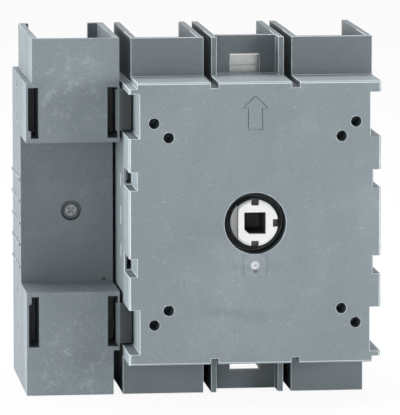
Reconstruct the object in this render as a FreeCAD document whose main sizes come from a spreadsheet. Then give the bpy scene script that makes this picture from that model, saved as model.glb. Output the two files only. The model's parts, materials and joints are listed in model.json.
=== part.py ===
import FreeCAD, Part
import math
import os
import re
import Sketcher

# Rotary switch disconnector: a three-pole block with a fourth pole hooked on its left side.
# Millimetres. The front face is the plane Y = 0 and looks towards -Y, +X is right, +Z is up.
# The origin is on the shaft axis at the front face.

os.makedirs("parts", exist_ok=True)

SIZES = {
    # Front cover block
    "panel_width": 70.0,
    "panel_height": 78.4,
    "cover_depth": 18.0,
    "front_wall": 2.2,
    "edge_break": 0.4,
    # Whole body
    "body_half_height": 50.0,
    "shoulder": 37.55,
    "parting": 38.0,
    "body_depth": 67.0,
    "rear_wall": 1.8,
    # Poles
    "pole_pitch": 22.5,
    "pole_half_width": 10.15,
    "pole_wall": 1.65,
    "chamber_front_wall": 1.8,
    "middle_setback": 6.5,
    "strip_width": 1.5,
    "window_half_width": 4.1,
    "window_height": 5.5,
    "deck": 29.8,
    "deck_wall": 1.7,
    "rear_opening": 4.4,
    "rear_step": 0.8,
    "overlap": 0.5,
    # Front cover details
    "side_window_deep": 3.0,
    "side_window_low": 23.8,
    "side_window_high": 36.1,
    "side_window_depth": 24.0,
    "snap_low": 9.5,
    "snap_high": 14.5,
    "snap_deep": 2.3,
    "snap_depth": 14.0,
    "snap_well_wide": 1.4,
    "snap_well_long": 10.0,
    "snap_well_wall": 0.6,
    "mechanism_half_width": 30.5,
    "mount_inner": 24.0,
    "mount_outer": 28.0,
    "mount_radius": 1.5,
    "mount_depth": 11.0,
    "mount_boss": 3.0,
    "post_half_width": 3.2,
    "post_x": 11.25,
    "post_z": 25.4,
    "pin_drop": 11.7,
    "pin_radius": 1.1,
    "pin_depth": 6.5,
    "pin_boss_wall": 1.5,
    "slit_depth": 0.6,
    "slit_width": 0.8,
    "slit_at": 22.8,
    "slit_length": 5.0,
    "slit_end": 11.6,
    "slit_short": 1.6,
    "rear_slit_at": 51.2,
    "rear_slit_width": 2.0,
    "rear_slit_length": 3.0,
    "rear_slit_end": 36.0,
    # Shaft coupler
    "recess_radius": 8.6,
    "recess_depth": 9.0,
    "recess_floor": 2.0,
    "recess_wall": 2.4,
    "coupler_face_radius": 5.85,
    "coupler_radius": 6.5,
    "coupler_set_in": 0.5,
    "coupler_flat": 4.65,
    "coupler_notch_width": 2.1,
    "coupler_notch_deep": 0.9,
    "coupler_notch_long": 3.0,
    "socket_width": 6.0,
    "socket_depth": 15.0,
    "socket_corner": 1.3,
    "coupler_tail_width": 8.0,
    "coupler_shoulder_at": 21.0,
    "coupler_end_at": 27.0,
    "running_gap": 0.08,
    "seat_gap": 0.05,
    # Bevel drive
    "rotor_axis_depth": 53.0,
    "gear_module": 2.0,
    "gear_teeth": 19.0,
    "gear_inner_radius": 16.4,
    "gear_backlash": 0.3,
    "gear_rim": 1.5,
    "gear_web": 2.4,
    "gear_hub_radius": 8.5,
    "pivot_radius": 3.4,
    "pivot_reach": 28.6,
    # Snap spring
    "spring_wire": 1.6,
    "spring_radius": 9.0,
    "spring_pitch": 2.4,
    "spring_turns": 2.0,
    "spring_start": 11.6,
    "spring_leg_reach": 14.5,
    "spring_post_gap": 0.3,
    "spring_post_wall": 2.0,
    # Contact rotor
    "drum_radius": 6.6,
    "journal_radius": 5.0,
    "shaft_side": 5.0,
    "blade_offset": 4.5,
    "blade_thickness": 1.5,
    "blade_half_length": 11.8,
    "blade_half_height": 4.5,
    "blade_gap": 0.05,
    "end_play": 0.3,
    # Fixed contacts
    "bar_thickness": 3.0,
    "bar_half_width": 6.0,
    "tongue_at": 44.0,
    "tongue_reach": 43.0,
    "flange_low": 49.0,
    "flange_high": 57.0,
    "flange_start": 8.5,
    "seat_length": 8.0,
    "tongue_taper": 2.0,
    # Terminal clamps
    "cage_half_width": 7.4,
    "cage_side": 1.1,
    "cage_front": 2.0,
    "cage_rear": 3.0,
    "cage_mouth": 12.0,
    "cage_length": 12.0,
    "cage_end_gap": 0.4,
    "cage_corner": 1.6,
    "screw_radius": 4.0,
    "hex_width": 4.0,
    "hex_depth": 4.0,
    "collar_wall": 1.5,
    "collar_height": 5.2,
    # Fourth pole
    "module_centre": 48.88,
    "module_half_width": 13.02,
    "module_step": 1.75,
    "module_recess": 21.0,
    "module_floor": 2.0,
    "module_slot_low": 22.2,
    "module_slot_high": 36.4,
    "module_slot_depth": 15.0,
    "left_slot_outer": 61.3,
    "left_slot_inner": 58.4,
    "right_slot_outer": 39.2,
    "right_slot_inner": 36.3,
    "module_chamber_half": 8.5,
    "module_screw_x": 47.7,
    "module_screw_radius": 1.6,
    "module_counterbore": 2.9,
    "side_rib_height": 0.4,
    "side_rib_width": 0.7,
    "side_rib_pitch": 6.2,
    "side_rib_top": 8.2,
    # Housing screws
    "screw_pilot": 1.25,
    "housing_screw_radius": 1.5,
    "housing_head_radius": 2.75,
    "housing_head_height": 2.2,
    "housing_screw_length": 36.0,
    "screw_clearance": 0.3,
}

doc = FreeCAD.newDocument("SwitchDisconnector")
sheet = doc.addObject("Spreadsheet::Sheet", "Sizes")
for row, (alias, number) in enumerate(SIZES.items(), start=1):
    sheet.set(f"A{row}", alias)
    sheet.set(f"B{row}", str(number))
    sheet.setAlias(f"B{row}", alias)
doc.recompute()

PARTS = []
CLAMP_AT = "deck + deck_wall + cage_end_gap + cage_length/2"
WORD = re.compile(r"\b[a-z][a-z_]+\b(?!\()")
PLANES = {"XZ": "XZ_Plane", "YZ": "YZ_Plane", "XY": "XY_Plane"}
POLES = {"1": "-pole_pitch", "2": "0", "3": "pole_pitch"}
ENDS = {"upper": 1, "lower": -1}
GROUPS = {"housing_screws": 4}


def cells(text):
    """Turns the size names in an expression into references to the sheet."""
    return WORD.sub(lambda found: "Sizes." + found.group(0), text)


def size(alias):
    return float(sheet.get(alias))


def new_body(label, x="0", y="0", z="0"):
    body = doc.addObject("PartDesign::Body", label)
    body.Label = label
    for axis, place in zip("xyz", (x, y, z)):
        body.setExpression(f"Placement.Base.{axis}", cells(place))
    PARTS.append(body)
    return body


def new_sketch(body, name, plane, distance):
    """A sketch parallel to a base plane; XZ sketches look along -Y, so their distance is turned."""
    sketch = body.newObject("Sketcher::SketchObject", name + "_sketch")
    support = [item for item in body.Origin.OriginFeatures if item.Role == PLANES[plane]]
    sketch.AttachmentSupport = (support[0], [""])
    sketch.MapMode = "FlatFace"
    sign = "-" if plane == "XZ" else ""
    sketch.setExpression("AttachmentOffset.Base.z", f"{sign}({cells(distance)})")
    return sketch


def place_point(sketch, curve, end, across, up):
    for kind, value in (("DistanceX", across), ("DistanceY", up)):
        index = sketch.addConstraint(Sketcher.Constraint(kind, -1, 1, curve, end, 1.0))
        sketch.setExpression(f"Constraints[{index}]", cells(value))


def draw_outline(sketch, points):
    first = len(sketch.Geometry)
    count = len(points)
    ring = [FreeCAD.Vector(math.cos(turn), math.sin(turn), 0)
            for turn in (2 * math.pi * step / count for step in range(count))]
    sketch.addGeometry([Part.LineSegment(ring[i], ring[(i + 1) % count]) for i in range(count)], False)
    for i in range(count):
        follower = first + (i + 1) % count
        sketch.addConstraint(Sketcher.Constraint("Coincident", first + i, 2, follower, 1))
    for i, (across, up) in enumerate(points):
        place_point(sketch, first + i, 1, across, up)


def draw_circle(sketch, across, up, radius):
    index = len(sketch.Geometry)
    sketch.addGeometry(Part.Circle(FreeCAD.Vector(0, 0, 0), FreeCAD.Vector(0, 0, 1), 1.0), False)
    place_point(sketch, index, 3, across, up)
    bound = sketch.addConstraint(Sketcher.Constraint("Radius", index, 1.0))
    sketch.setExpression(f"Constraints[{bound}]", cells(radius))


def rectangle(left, right, low, high):
    return [(left, low), (right, low), (right, high), (left, high)]


def square(across, up, half):
    return rectangle(f"{across} - ({half})", f"{across} + {half}", f"{up} - ({half})", f"{up} + {half}")


def extrude(body, name, kind, plane, near, far, outlines, circles):
    sketch = new_sketch(body, name, plane, near)
    for points in outlines:
        draw_outline(sketch, points)
    for across, up, radius in circles:
        draw_circle(sketch, across, up, radius)
    feature = body.newObject("PartDesign::" + kind, name)
    feature.Profile = (sketch, [""])
    feature.setExpression("Length", cells(f"({far}) - ({near})"))
    feature.Reversed = (kind == "Pad") == (plane == "XZ")
    return feature


def add(body, name, plane, near, far, outlines=(), circles=()):
    return extrude(body, name, "Pad", plane, near, far, outlines, circles)


def cut(body, name, plane, near, far, outlines=(), circles=()):
    return extrude(body, name, "Pocket", plane, near, far, outlines, circles)


def turn(body, name, points, axis):
    """Revolves an outline drawn in the XY plane about the body's X (H_Axis) or Y (V_Axis)."""
    sketch = new_sketch(body, name, "XY", "0")
    draw_outline(sketch, points)
    feature = body.newObject("PartDesign::Revolution", name)
    feature.Profile = (sketch, [""])
    feature.ReferenceAxis = (sketch, [axis])
    feature.Angle = 360
    return feature


def soften(body, name, radius, picked, kind="Fillet"):
    """Rounds or chamfers the edges of the body's last feature that picked accepts."""
    doc.recompute()
    base = body.Tip
    edges = [f"Edge{i}" for i, edge in enumerate(base.Shape.Edges, start=1) if picked(edge)]
    feature = body.newObject("PartDesign::" + kind, name)
    feature.Base = (base, edges)
    feature.setExpression("Radius" if kind == "Fillet" else "Size", cells(radius))
    return feature


def keep_shape(label, shape):
    """Keeps a shape made by the functions below as a part of its own."""
    part = doc.addObject("Part::Feature", label)
    part.Label = label
    part.Shape = shape
    part.Placement = FreeCAD.Placement()
    PARTS.append(part)
    return part


def both(text):
    """The same size above and below the shaft axis."""
    return ((text, 1), (text, -1))


def signed(text, side):
    return f"({text})" if side > 0 else f"-({text})"


def band(left, right, low, high, side):
    """A rectangle above the axis, or its copy turned half a turn about the shaft."""
    if side > 0:
        return rectangle(left, right, low, high)
    return rectangle(f"-({right})", f"-({left})", f"-({high})", f"-({low})")


def chamber_outline(pole, side, low, high, inset):
    """Terminal chamber of one pole. The top right and bottom left ones are wider, up to the panel's edge."""
    centre = POLES[pole]
    left = f"{centre} - pole_half_width + {inset}"
    right = f"{centre} + pole_half_width - {inset}"
    if side > 0 and pole == "3":
        right = f"panel_width/2 - {inset}"
    if side < 0 and pole == "1":
        left = f"-panel_width/2 + {inset}"
    if side > 0:
        return rectangle(left, right, low, high)
    return rectangle(left, right, f"-({high})", f"-({low})")


def make_front_housing():
    body = new_body("front_housing")
    add(body, "cover_block", "XZ", "0", "cover_depth",
        [rectangle("-panel_width/2", "panel_width/2", "-panel_height/2", "panel_height/2")])
    soften(body, "cover_edge", "edge_break",
           lambda edge: edge.BoundBox.YMax < 0.01, "Chamfer")
    add(body, "rear_half", "XZ", "cover_depth", "parting",
        [rectangle("-panel_width/2", "panel_width/2", "-shoulder", "shoulder")])
    add(body, "chambers", "XZ", "cover_depth", "parting",
        [chamber_outline(pole, side, "shoulder - overlap", "body_half_height", "0")
         for pole in POLES for side in (1, -1)])
    gap_left = "pole_half_width"
    gap_right = "pole_pitch - pole_half_width"
    notches = [band(gap_left, gap_right, "shoulder", "panel_height/2 + 1", side) for side in (1, -1)]
    notches += [band(f"-({gap_right})", f"-({gap_left})", "shoulder", "panel_height/2 + 1", side)
                for side in (1, -1)]
    notches += [band("-panel_width/2 - 1", "-pole_pitch - pole_half_width",
                     "shoulder", "panel_height/2 + 1", side) for side in (1, -1)]
    cut(body, "barrier_notches", "XZ", "0", "cover_depth", notches)
    cut(body, "mechanism_space", "XZ", "front_wall", "parting",
        [rectangle("-mechanism_half_width", "mechanism_half_width", "-deck", "deck")])
    add_front_bosses(body)
    cut_front_openings(body)
    cut_front_chambers(body)
    return body


def add_front_bosses(body):
    spots = [(x, z) for _, x in both("mount_inner") for _, z in both("mount_inner")]
    for name, reach in (("inner", "mount_inner"), ("outer", "mount_outer")):
        add(body, f"{name}_bosses", "XZ", "front_wall - overlap", "mount_depth + 2",
            [square(signed(reach, x), signed(reach, z), "mount_boss") for x, z in spots])
    add(body, "shaft_boss", "XZ", "front_wall - overlap", "recess_depth + recess_floor",
        circles=[("0", "0", "recess_radius + recess_wall")])
    add(body, "pin_boss", "XZ", "front_wall - overlap", "pin_depth + 0.5",
        circles=[("0", "-pin_drop", "pin_radius + pin_boss_wall")])
    add(body, "screw_posts", "XZ", "front_wall - overlap", "parting",
        [square(signed("post_x", x), signed("post_z", z), "post_half_width") for x, z in spots])
    post = "spring_wire/2 + spring_post_gap"
    add(body, "spring_posts", "XZ", "front_wall - overlap", "spring_start + spring_wire",
        [rectangle(post, f"{post} + spring_post_wall", "recess_radius + recess_wall + 1",
                   "spring_leg_reach + spring_post_wall"),
         rectangle(f"-({post}) - spring_post_wall", f"-({post})", "recess_radius + recess_wall + 1",
                   "spring_leg_reach + spring_post_wall")])


def cut_front_openings(body):
    spots = [(x, z) for x in (1, -1) for z in (1, -1)]
    windows = []
    snaps = []
    for side in (1, -1):
        windows.append(band("panel_width/2 - side_window_deep", "panel_width/2 + 1",
                            "side_window_low", "side_window_high", side))
        windows.append(band("-panel_width/2 - 1", "-panel_width/2 + side_window_deep",
                            "side_window_low", "side_window_high", side))
        snaps.append(band("panel_width/2 - snap_deep", "panel_width/2 + 1", "snap_low", "snap_high", side))
        snaps.append(band("-panel_width/2 - 1", "-panel_width/2 + snap_deep", "snap_low", "snap_high", side))
    cut(body, "side_windows", "XZ", "0", "side_window_depth", windows)
    cut(body, "snap_notches", "XZ", "0", "snap_depth", snaps)
    near = "panel_width/2 - snap_well_wall"
    wells = [band(f"{near} - snap_well_wide", near, "snap_low + 0.4", "snap_high - 0.4", side)
             for side in (1, -1)]
    wells += [band(f"-({near})", f"-({near}) + snap_well_wide", "snap_low + 0.4", "snap_high - 0.4", side)
              for side in (1, -1)]
    cut(body, "snap_wells", "XZ", "snap_depth", "snap_depth + snap_well_long", wells)
    for name, reach in (("inner", "mount_inner"), ("outer", "mount_outer")):
        cut(body, f"{name}_screw_holes", "XZ", "0", "mount_depth",
            circles=[(signed(reach, x), signed(reach, z), "mount_radius") for x, z in spots])
    cut(body, "post_holes", "XZ", "cover_depth", "parting",
        circles=[(signed("post_x", x), signed("post_z", z), "housing_screw_radius + seat_gap") for x, z in spots])
    cut(body, "shaft_recess", "XZ", "0", "recess_depth", circles=[("0", "0", "recess_radius")])
    cut(body, "shaft_hole", "XZ", "0", "recess_depth + recess_floor + 1",
        circles=[("0", "0", "coupler_radius + running_gap")])
    cut(body, "pin_hole", "XZ", "0", "pin_depth",
        circles=[("0", "-pin_drop", "pin_radius + seat_gap")])
    far = "slit_at + slit_width"
    side_slits = [rectangle("slit_at", far, "-slit_length/2", "slit_length/2"),
                  rectangle("slit_at", far, "-slit_end", "-slit_end + slit_length - slit_short"),
                  rectangle("slit_at", far, "slit_end - slit_length + slit_short", "slit_end")]
    cut(body, "left_slits", "YZ", "-panel_width/2", "-panel_width/2 + slit_depth", side_slits)
    cut(body, "right_slits", "YZ", "panel_width/2 - slit_depth", "panel_width/2", side_slits)


def cut_front_chambers(body):
    for pole in POLES:
        front = "cover_depth + chamber_front_wall"
        if pole == "2":
            front += " + middle_setback"
        low = "deck + deck_wall"
        centre = POLES[pole]
        inner = "pole_half_width - pole_wall"
        cut(body, f"chamber_{pole}", "XZ", front, "parting",
            [rectangle(f"{centre} - ({inner})", f"{centre} + ({inner})", low, "body_half_height + 1"),
             rectangle(f"{centre} - ({inner})", f"{centre} + ({inner})", "-body_half_height - 1", f"-({low})")])
    corner = [rectangle("pole_pitch + pole_half_width - pole_wall - 1", "panel_width/2 - pole_wall",
                        "shoulder", "body_half_height + 1")]
    corner.append([(f"-({x})", f"-({z})") for x, z in corner[0]])
    cut(body, "corner_chambers", "XZ", "cover_depth + chamber_front_wall", "parting", corner)
    cut(body, "middle_setbacks", "XZ", "cover_depth", "cover_depth + middle_setback",
        [band("-pole_half_width + strip_width", "pole_half_width - strip_width",
              "panel_height/2", "body_half_height + 1", side) for side in (1, -1)])
    cut(body, "middle_windows", "XZ", "cover_depth + middle_setback",
        "cover_depth + middle_setback + chamber_front_wall",
        [band("-window_half_width", "window_half_width", "panel_height/2",
              "panel_height/2 + window_height", side)
         for side in (1, -1)])


def make_rear_housing():
    body = new_body("rear_housing")
    add(body, "block", "XZ", "parting", "body_depth",
        [rectangle("-panel_width/2", "panel_width/2", "-shoulder", "shoulder")])
    add(body, "chambers", "XZ", "parting", "body_depth",
        [chamber_outline(pole, side, "shoulder - overlap", "body_half_height - rear_step", "0")
         for pole in POLES for side in (1, -1)])
    floor = "body_depth - rear_wall"
    end = "panel_width/2 - pole_wall - 1"
    wall = "pole_pitch - pole_half_width + pole_wall"
    inner = "pole_half_width - pole_wall"
    cut(body, "lid_seat", "XZ", "parting", "parting + module_floor",
        [rectangle("-panel_width/2 + pole_wall", "panel_width/2 - pole_wall", "-deck", "deck")])
    cut(body, "contact_chambers", "XZ", "parting + 1", floor,
        [rectangle(f"-({end})", f"-({wall})", "-deck", "deck"),
         rectangle(f"-({inner})", inner, "-deck", "deck"),
         rectangle(wall, end, "-deck", "deck")])
    for pole, centre in POLES.items():
        add_rear_pole(body, f"pole_{pole}", centre, inner, floor)
    corner = [rectangle("pole_pitch + pole_half_width - pole_wall - 1", "panel_width/2 - pole_wall",
                        "shoulder", "body_half_height + 1")]
    corner.append([(f"-({x})", f"-({z})") for x, z in corner[0]])
    cut(body, "corner_chambers", "XZ", "parting", floor, corner)
    cut(body, "corner_openings", "XZ", "body_depth - rear_wall", "body_depth",
        [band("pole_pitch", "panel_width/2 - pole_wall", "body_half_height - rear_opening",
              "body_half_height + 1", side) for side in (1, -1)])
    bearing = "journal_radius + running_gap"
    cut(body, "bearing_round", "YZ", "-panel_width/2 - 1", "panel_width/2 - 1",
        circles=[("rotor_axis_depth", "0", bearing)])
    cut(body, "bearing_slot", "YZ", f"-({end})", end,
        [rectangle("parting", "rotor_axis_depth", f"-({bearing})", bearing)])
    spots = [(x, z) for x in (1, -1) for z in (1, -1)]
    cut(body, "screw_ways", "XZ", "parting", "body_depth",
        circles=[(signed("post_x", x), signed("post_z", z), "housing_screw_radius + screw_clearance") for x, z in spots])
    cut(body, "screw_seats", "XZ", "body_depth - housing_head_height - 1", "body_depth",
        circles=[(signed("post_x", x), signed("post_z", z), "housing_head_radius + screw_clearance") for x, z in spots])
    side_slits = [rectangle("rear_slit_at", "rear_slit_at + rear_slit_width",
                            signed("rear_slit_end - rear_slit_length", side), signed("rear_slit_end", side))
                  for side in (1, -1)]
    cut(body, "right_slits", "YZ", "panel_width/2 - slit_depth", "panel_width/2", side_slits)
    return body


def add_rear_pole(body, name, centre, inner, floor):
    """Terminal space, contact seats, collars and screw holes of one pole in a rear housing."""
    low = "deck + deck_wall"
    cut(body, f"{name}_terminals", "XZ", "parting", floor,
        [rectangle(f"{centre} - ({inner})", f"{centre} + ({inner})", low, "body_half_height + 1"),
         rectangle(f"{centre} - ({inner})", f"{centre} + ({inner})", "-body_half_height - 1", f"-({low})")])
    cut(body, f"{name}_ends", "XZ", "body_depth - rear_wall", "body_depth",
        [rectangle(f"{centre} - ({inner})", f"{centre} + ({inner})",
                   "body_half_height - rear_opening", "body_half_height + 1"),
         rectangle(f"{centre} - ({inner})", f"{centre} + ({inner})",
                   "-body_half_height - 1", "-body_half_height + rear_opening")])
    cut(body, f"{name}_bar_slots", "XZ", "parting", "tongue_at + bar_thickness",
        [rectangle(f"{centre} - bar_half_width - 0.1", f"{centre} + bar_half_width + 0.1",
                   f"-({low}) - overlap", f"{low} + overlap")])
    seats = [rectangle(f"{centre} + blade_offset - bar_thickness", f"{centre} + blade_offset + bar_thickness",
                       signed("deck - seat_length", side), signed("deck + overlap", side)) for side in (1, -1)]
    add(body, f"{name}_seats", "XZ", "flange_high", "body_depth - overlap", seats)
    hole = "screw_radius + screw_clearance"
    add(body, f"{name}_collars", "XZ", f"{floor} - collar_height", "body_depth - overlap",
        [square(centre, signed(CLAMP_AT, side), f"{hole} + collar_wall") for side in (1, -1)])
    cut(body, f"{name}_screw_ways", "XZ", f"{floor} - collar_height", "body_depth",
        circles=[(centre, signed(CLAMP_AT, side), hole) for side in (1, -1)])


def make_contact_cover():
    """Lid between the mechanism and the contact chambers, with caps that close the bearing slots."""
    body = new_body("contact_cover")
    add(body, "plate", "XZ", "parting", "parting + module_floor",
        [rectangle("-panel_width/2 + pole_wall + seat_gap", "panel_width/2 - pole_wall - seat_gap",
                   "-deck + seat_gap", "deck - seat_gap")])
    add(body, "pivot", "XZ", "pivot_reach", "parting + 1", circles=[("0", "0", "pivot_radius")])
    cap = "journal_radius + running_gap - seat_gap"
    low = "pole_half_width - pole_wall"
    high = "pole_pitch - pole_half_width + pole_wall"
    add(body, "caps", "XZ", "parting + 1", "rotor_axis_depth - journal_radius/2",
        [rectangle(low, high, f"-({cap})", cap), rectangle(f"-({high})", f"-({low})", f"-({cap})", cap)])
    cut(body, "cap_bores", "YZ", f"-({high}) - 1", f"{high} + 1",
        circles=[("rotor_axis_depth", "0", "journal_radius + running_gap")])
    cut(body, "sector_slot", "XZ", "parting", "parting + module_floor",
        [rectangle("gear_inner_radius - 2.2", "gear_module*gear_teeth/2 + 3.8", "-deck/1.5", "deck/1.5")])
    spots = [(x, z) for x in (1, -1) for z in (1, -1)]
    cut(body, "screw_ways", "XZ", "parting", "parting + module_floor",
        circles=[(signed("post_x", x), signed("post_z", z), "housing_screw_radius + screw_clearance") for x, z in spots])
    return body


def make_shaft_coupler():
    """White coupler that takes the square operating shaft."""
    body = new_body("shaft_coupler")
    slope = "coupler_radius - coupler_face_radius"
    turn(body, "barrel", [("0", "coupler_set_in"), ("coupler_face_radius", "coupler_set_in"),
                          ("coupler_radius", f"coupler_set_in + {slope}"),
                          ("coupler_radius", "coupler_shoulder_at"), ("0", "coupler_shoulder_at")], "V_Axis")
    tail = "coupler_tail_width/2"
    add(body, "tail", "XZ", "coupler_shoulder_at - 1", "coupler_end_at",
        [rectangle(f"-{tail}", tail, f"-{tail}", tail)])
    reach = "socket_width/2"
    cut(body, "socket", "XZ", "coupler_set_in", "coupler_set_in + socket_depth",
        [[(f"-{reach} + socket_corner", f"-{reach}"), (reach, f"-{reach}"), (reach, reach),
          (f"-{reach}", reach), (f"-{reach}", f"-{reach} + socket_corner")]])
    rim = "coupler_radius + 1"
    notch = "coupler_notch_width/2"
    deep = "coupler_face_radius - coupler_notch_deep"
    cut(body, "keys", "XZ", "coupler_set_in", "coupler_set_in + coupler_notch_long",
        [rectangle(f"-({rim})", "-coupler_flat", f"-({rim})", rim),
         rectangle(f"-{notch}", notch, deep, rim),
         rectangle(deep, rim, f"-{notch}", notch),
         rectangle(f"-{notch}", notch, f"-({rim})", f"-({deep})")])
    return body


def pitch_radius():
    return size("gear_module") * size("gear_teeth") / 2


def tooth_section(radius, grow=0.0):
    """Half outline of a tooth, as (half width, height) pairs from root to tip, at a pitch radius.
    The flank follows the involute of the equivalent spur gear closely enough for the backlash."""
    share = radius / pitch_radius()
    module = size("gear_module") * share
    equivalent = radius * math.sqrt(2)
    pressure = math.radians(20)
    bend = 2 * equivalent * math.sin(pressure)
    half = math.pi * module / 4 - size("gear_backlash") * share / 2
    levels = (-1.25 - grow, -0.6, 0.0, 0.5, 0.95)
    return [(half - level * module * math.tan(pressure) - (level * module) ** 2 / bend, level * module)
            for level in levels]


def tooth_ring(radius):
    """Tooth outline at a pitch radius of a bevel gear whose axis is +Z and whose apex is the origin."""
    half = tooth_section(radius, 0.2)
    corners = [(-wide, high) for wide, high in half] + [(wide, high) for wide, high in reversed(half)]
    lean = math.sqrt(0.5)
    return [FreeCAD.Vector(radius + high * lean, wide, radius - high * lean) for wide, high in corners]


def solid_from(rings):
    """Closes flat faces, each given by its corners, into a solid."""
    shell = Part.Shell([Part.Face(Part.makePolygon(ring + ring[:1])) for ring in rings])
    shell.sewShape()
    return Part.Solid(shell)


def bevel_tooth(angle):
    """Every section is a scaled copy of the others about the apex, so the flanks are flat strips."""
    near = tooth_ring(size("gear_inner_radius"))
    far = tooth_ring(pitch_radius())
    rings = [near, far]
    for i in range(len(near)):
        rings.append([near[i - 1], near[i], far[i], far[i - 1]])
    tooth = solid_from(rings)
    tooth.rotate(FreeCAD.Vector(), FreeCAD.Vector(0, 0, 1), angle)
    return tooth


def bevel_blank(hub_radius, hub_start, hub_end, angles):
    """Rim, web and hub from the apex along +Z, with a flat land between each two teeth."""
    inner = size("gear_inner_radius")
    outer = pitch_radius()
    lean = math.sqrt(0.5)
    root = 1.25 * size("gear_module") * lean
    rim = size("gear_rim") * lean
    toe_root = root * inner / outer
    corner = (outer - root, outer + root)
    back = (corner[0] - rim, corner[1] + rim)
    toe = (inner - toe_root, inner + toe_root)
    web = back[1] - size("gear_web")
    core = size("pivot_radius") / 2
    profile = [(core, hub_start), (hub_radius, hub_start), (hub_radius, web), (toe[0] - rim, web),
               (toe[0] - rim, toe[1] + rim), toe, corner, back]
    profile += [(hub_radius, back[1]), (hub_radius, hub_end), (core, hub_end)]
    profile = [corner for i, corner in enumerate(profile) if math.dist(corner, profile[i - 1]) > 0.01]
    grow = 1 / math.cos(math.pi / size("gear_teeth"))
    rings = [[FreeCAD.Vector(grow * radius * math.cos(turn), grow * radius * math.sin(turn), high)
              for radius, high in profile] for turn in (math.radians(angle) for angle in angles)]
    sides = [] if angles[-1] - angles[0] > 359.9 else [rings[0], rings[-1]]
    for near, far in zip(rings, rings[1:]):
        sides += [[near[i - 1], near[i], far[i], far[i - 1]] for i in range(len(profile))]
    return solid_from(sides)


def seat_gear(shape, direction):
    """Turns a gear built on +Z so that its axis points the given way from the apex."""
    shape.rotate(FreeCAD.Vector(), direction[0], direction[1])
    shape.translate(FreeCAD.Vector(0, size("rotor_axis_depth"), 0))
    return shape


def make_drive_gear():
    """Bevel gear on the coupler's square tail, with the arm that winds the snap spring."""
    teeth = int(size("gear_teeth"))
    apex = size("rotor_axis_depth")
    back = apex - size("coupler_shoulder_at") - 0.2
    web_back = pitch_radius() + (1.25 * size("gear_module") + size("gear_rim")) * math.sqrt(0.5)
    bore = size("pivot_radius") + size("running_gap")
    hub = size("gear_hub_radius")
    gear = bevel_blank(hub, web_back - size("gear_web"), back, [360.0 * i / teeth for i in range(teeth + 1)])
    gear = gear.fuse([bevel_tooth(360.0 * i / teeth) for i in range(teeth)])
    gear = gear.cut(Part.makeCylinder(bore, back + 1))
    gear = seat_gear(gear, (FreeCAD.Vector(1, 0, 0), 90))
    side = size("coupler_tail_width") + 2 * size("seat_gap")
    long = size("coupler_end_at") - size("coupler_shoulder_at") + 0.3
    socket = Part.makeBox(side, long + 1, side,
                          FreeCAD.Vector(-side / 2, size("coupler_shoulder_at") - 0.8, -side / 2))
    leg = size("spring_wire") / 2 + 0.3
    arm_start = size("spring_start") + size("spring_pitch") * size("spring_turns")
    reach = size("spring_leg_reach") + 1.5
    root = size("spring_radius") + size("spring_wire") / 2 + 0.6
    arm = Part.makeBox(2, apex - web_back + size("gear_web") / 2 - arm_start + 0.8, reach - root,
                       FreeCAD.Vector(leg, arm_start - 0.8, -reach))
    other = Part.makeBox(2, apex - web_back + size("gear_web") / 2 - arm_start + 0.8, reach - root,
                         FreeCAD.Vector(-leg - 2, arm_start - 0.8, -reach))
    gear = gear.cut(socket).fuse([arm, other])
    return keep_shape("drive_gear", gear)


def make_rotor_gear():
    """Toothed sector of the same bevel gear, on the square shaft of the contact rotor."""
    step = 360.0 / int(size("gear_teeth"))
    journal_start = size("pole_pitch") / 2 + 0.05
    wall_end = size("pole_pitch") - size("pole_half_width") + size("pole_wall")
    hub_end = web_end = pitch_radius() + (1.25 * size("gear_module") + size("gear_rim")) * math.sqrt(0.5)
    first = -5.5
    last = 0.5
    margin = 0.42 * step
    places = [(first + i) * step for i in range(int(last - first) + 1)]
    blank = bevel_blank(size("drum_radius") - 0.5, web_end - size("gear_web"), hub_end,
                        [places[0] - margin] + places + [places[-1] + margin])
    gear = blank.fuse([bevel_tooth(place) for place in places])
    hub = Part.makeCylinder(size("drum_radius"), hub_end - wall_end - size("end_play"),
                            FreeCAD.Vector(0, 0, wall_end + size("end_play")))
    journal = Part.makeCylinder(size("journal_radius"), hub_end - journal_start,
                                FreeCAD.Vector(0, 0, journal_start))
    gear = gear.fuse([hub, journal])
    side = size("shaft_side") + 2 * size("seat_gap")
    gear = gear.cut(Part.makeBox(side, side, 60, FreeCAD.Vector(-side / 2, -side / 2, 0)))
    flat = FreeCAD.Matrix()
    flat.A11, flat.A12, flat.A13 = 0, 0, 1
    flat.A21, flat.A22, flat.A23 = -1, 0, 0
    flat.A31, flat.A32, flat.A33 = 0, -1, 0
    gear = gear.transformed(flat, True)
    gear.translate(FreeCAD.Vector(0, size("rotor_axis_depth"), 0))
    return keep_shape("rotor_gear", gear.removeSplitter())


def make_snap_spring():
    """Torsion spring: the front leg is held by the housing, the rear one by the drive gear."""
    radius = size("spring_radius")
    pitch = size("spring_pitch")
    wire = size("spring_wire")
    turns = size("spring_turns") + 0.5
    start = size("spring_start") + wire / 2
    half = wire / 2
    helix = Part.makeHelix(pitch, pitch * turns, radius)
    helix.rotate(FreeCAD.Vector(), FreeCAD.Vector(0, 0, 1), -90)
    helix.rotate(FreeCAD.Vector(), FreeCAD.Vector(1, 0, 0), -90)
    helix.translate(FreeCAD.Vector(0, start, 0))
    corners = [FreeCAD.Vector(0, start + y * half, radius + z * half)
               for y, z in ((1, 1), (-1, 1), (-1, -1), (1, -1))]
    coil = Part.Wire(helix.Edges).makePipeShell([Part.makePolygon(corners + corners[:1])], True, True)
    reach = size("spring_leg_reach") - radius
    front = Part.makeBox(wire, wire, reach + half, FreeCAD.Vector(-half, start - half, radius - half))
    rear = Part.makeBox(wire, wire, reach + half,
                        FreeCAD.Vector(-half, start + pitch * turns - half, -radius - reach))
    return keep_shape("snap_spring", coil.fuse([front, rear]).removeSplitter())


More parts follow.
